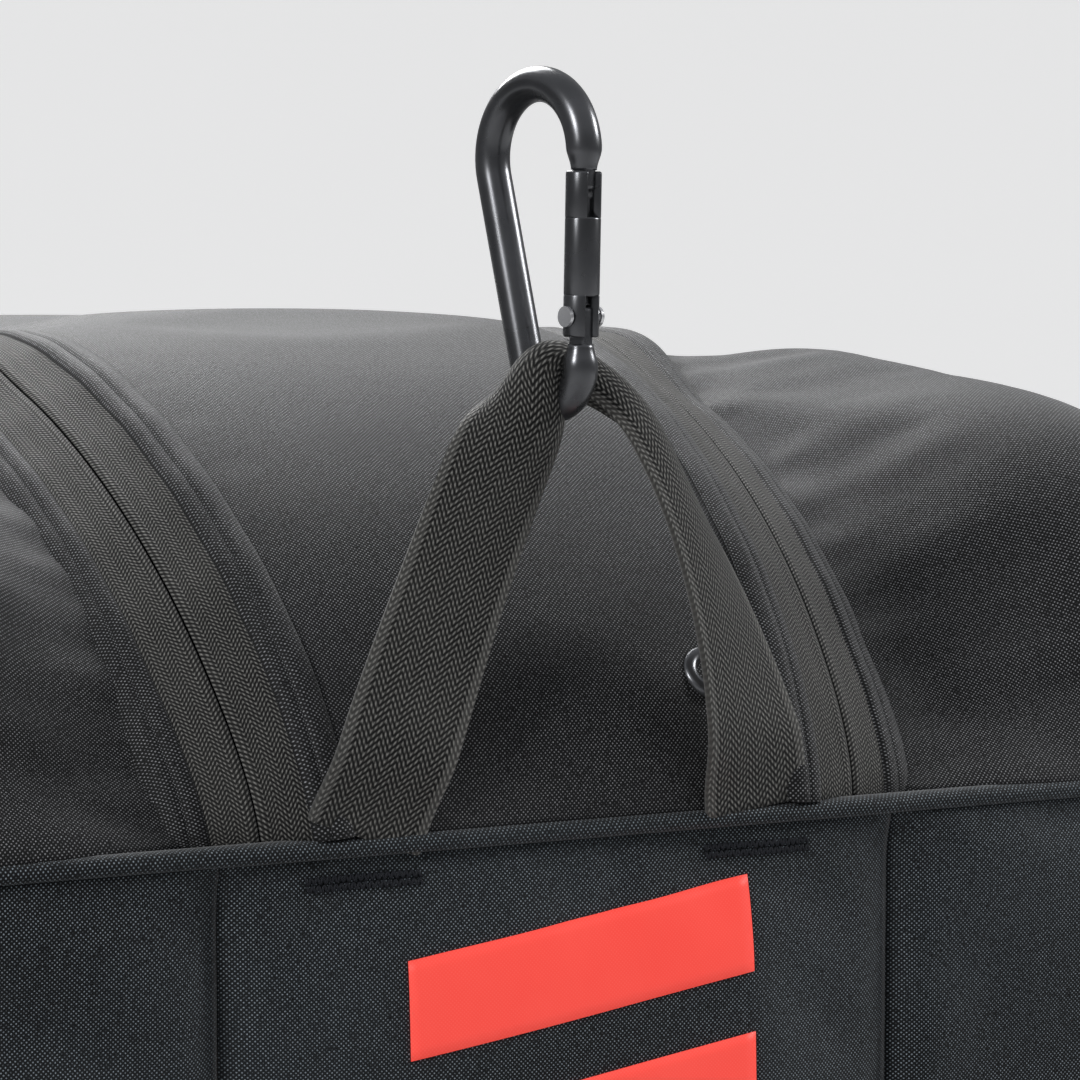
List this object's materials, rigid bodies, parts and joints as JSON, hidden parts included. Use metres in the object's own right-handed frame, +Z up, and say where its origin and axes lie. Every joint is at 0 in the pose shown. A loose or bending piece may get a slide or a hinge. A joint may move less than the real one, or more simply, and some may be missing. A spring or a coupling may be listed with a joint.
{
  "type": "hockey equipment bag",
  "caption": "Long soft duffel bag with a zipped fold-back lid, carry handles, and a sewn hang loop that holds a spring-gate carabiner.",
  "frame": {"origin": "middle of the bag's underside, on the surface it rests on", "axes": "+Z up, the hang loop's end faces -Y, +X to the right of that end seen from above with +Y ahead"},
  "size_m": [0.4655, 0.9124, 0.4626],
  "materials": {
    "fabric": "woven polyester, charcoal, matt",
    "base_fabric": "coated heavy fabric",
    "webbing": "ribbed webbing",
    "tape": "herringbone zip tape",
    "thread": "dark navy stitching",
    "board": "stiff board",
    "coil": "nylon coil",
    "piping": "flexible piping",
    "print": "flat red print",
    "black_metal": "satin black",
    "silver_metal": "bright steel",
    "pull_plastic": "soft moulded tab",
    "grip": "padded wrap"
  },
  "bodies": {
    "bag": {"base_panel": "base_fabric", "base_board": "board", "end_panel_front": "fabric", "end_panel_rear": "fabric", "side_lower_left": "fabric", "side_lower_right": "fabric", "side_upper_left": "fabric", "side_upper_right": "fabric", "shoulder_panel": "fabric", "rear_yoke": "fabric", "seam_welt": "fabric", "base_piping": "piping", "zip_tape_outer": "tape", "zip_coil_outer": "coil", "zip_tape_front": "tape", "zip_coil_front": "coil", "vent_eyelets": "black_metal", "eyelet_washers": "silver_metal", "print_bars": "print", "loop_bartacks": "thread", "handle_webbing_left": "webbing", "handle_webbing_right": "webbing"},
    "lid": {"lid_panel": "fabric", "zip_tape_lid": "tape", "zip_coil_lid": "coil"},
    "slider_left": {"slider_left": "black_metal"},
    "slider_right": {"slider_right": "black_metal"},
    "pull_left": {"pull_left": "pull_plastic"},
    "pull_right": {"pull_right": "pull_plastic"},
    "hang_loop": {"hang_loop": "webbing"},
    "carabiner": {"carabiner_body": "black_metal", "gate_rivet": "silver_metal"},
    "gate": {"carabiner_gate": "black_metal", "gate_latch_pin": "silver_metal", "gate_spring": "silver_metal"},
    "handle_left": {"handle_left": "webbing", "handle_wrap": "grip"},
    "handle_right": {"handle_right": "webbing"}
  },
  "joints": [
    {"name": "lid_fold", "type": "hinge", "parent": "bag", "child": "lid", "pos_m": [0, -0.26, 0.4005], "axis": [1, 0, 0], "range_deg": [0, 105]},
    {"name": "slider_left_travel", "type": "slide", "parent": "lid", "child": "slider_left", "axis": [0.0649, -0.9979, 0], "range_m": [0, 0.4]},
    {"name": "slider_right_travel", "type": "slide", "parent": "lid", "child": "slider_right", "axis": [-0.0649, -0.9979, 0], "range_m": [0, 0.4]},
    {"name": "pull_left_flip", "type": "hinge", "parent": "slider_left", "child": "pull_left", "pos_m": [-0.12116, 0.1675, 0.4036], "axis": [-0.9979, -0.0649, 0], "range_deg": [0, 150]},
    {"name": "pull_right_flip", "type": "hinge", "parent": "slider_right", "child": "pull_right", "pos_m": [0.12116, 0.1675, 0.4036], "axis": [-0.9979, 0.0649, 0], "range_deg": [0, 150]},
    {"name": "loop_swing", "type": "hinge", "parent": "bag", "child": "hang_loop", "pos_m": [0, -0.456, 0.2928], "axis": [1, 0, 0], "range_deg": [0, 110]},
    {"name": "carabiner_swing", "type": "hinge", "parent": "hang_loop", "child": "carabiner", "pos_m": [-0.003, -0.445, 0.396], "axis": [0.9659, 0.2588, 0], "range_deg": [-60, 65]},
    {"name": "gate_open", "type": "hinge", "parent": "carabiner", "child": "gate", "pos_m": [-0.00059, -0.45398, 0.40675], "axis": [-0.9659, -0.2588, 0], "range_deg": [0, 25], "stiffness_Nm_per_rad": 0.05, "springref_deg": -5.73},
    {"name": "handle_left_swing", "type": "hinge", "parent": "bag", "child": "handle_left", "pos_m": [-0.23, 0, 0.274], "axis": [0, 1, 0], "range_deg": [0, 170]},
    {"name": "handle_right_swing", "type": "hinge", "parent": "bag", "child": "handle_right", "pos_m": [0.23, 0, 0.274], "axis": [0, -1, 0], "range_deg": [0, 170]}
  ]
}
